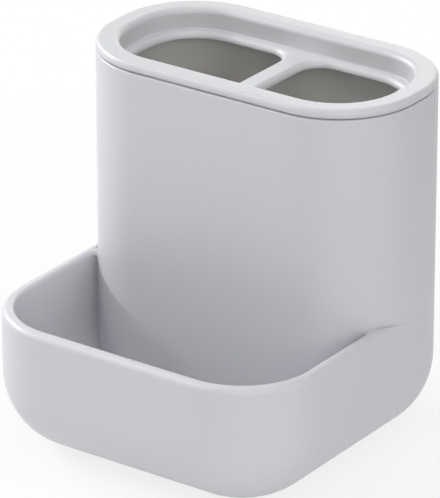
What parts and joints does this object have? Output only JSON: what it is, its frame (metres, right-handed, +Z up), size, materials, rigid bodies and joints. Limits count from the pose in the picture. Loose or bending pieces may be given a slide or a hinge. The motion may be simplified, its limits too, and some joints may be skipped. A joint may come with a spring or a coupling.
{
  "type": "vanity caddy",
  "caption": "Satin light-grey vanity caddy: a tall rounded storage tower with a divided lift-out lid, moulded in one piece with a shallow open tray in front.",
  "frame": {"origin": "on the table, under the middle of the footprint", "axes": "+Z up, +X to the right along the tower's long side, -Y to the front, where the tray is"},
  "size_m": [0.114, 0.1124, 0.1196],
  "materials": {
    "satin_grey_plastic": "satin, fine moulded grain",
    "satin_grey_lid_plastic": "satin, fine moulded grain",
    "pad_rubber": "matte"
  },
  "bodies": {
    "body": {"caddy_body": "satin_grey_plastic", "foot_pad_front_left": "pad_rubber", "foot_pad_front_right": "pad_rubber", "foot_pad_back_left": "pad_rubber", "foot_pad_back_right": "pad_rubber"},
    "lid": {"lift_out_lid": "satin_grey_lid_plastic"}
  },
  "joints": [
    {"name": "lid_lift", "type": "slide", "parent": "body", "child": "lid", "axis": [0, 0, 1], "range_m": [0, 0.03]}
  ]
}
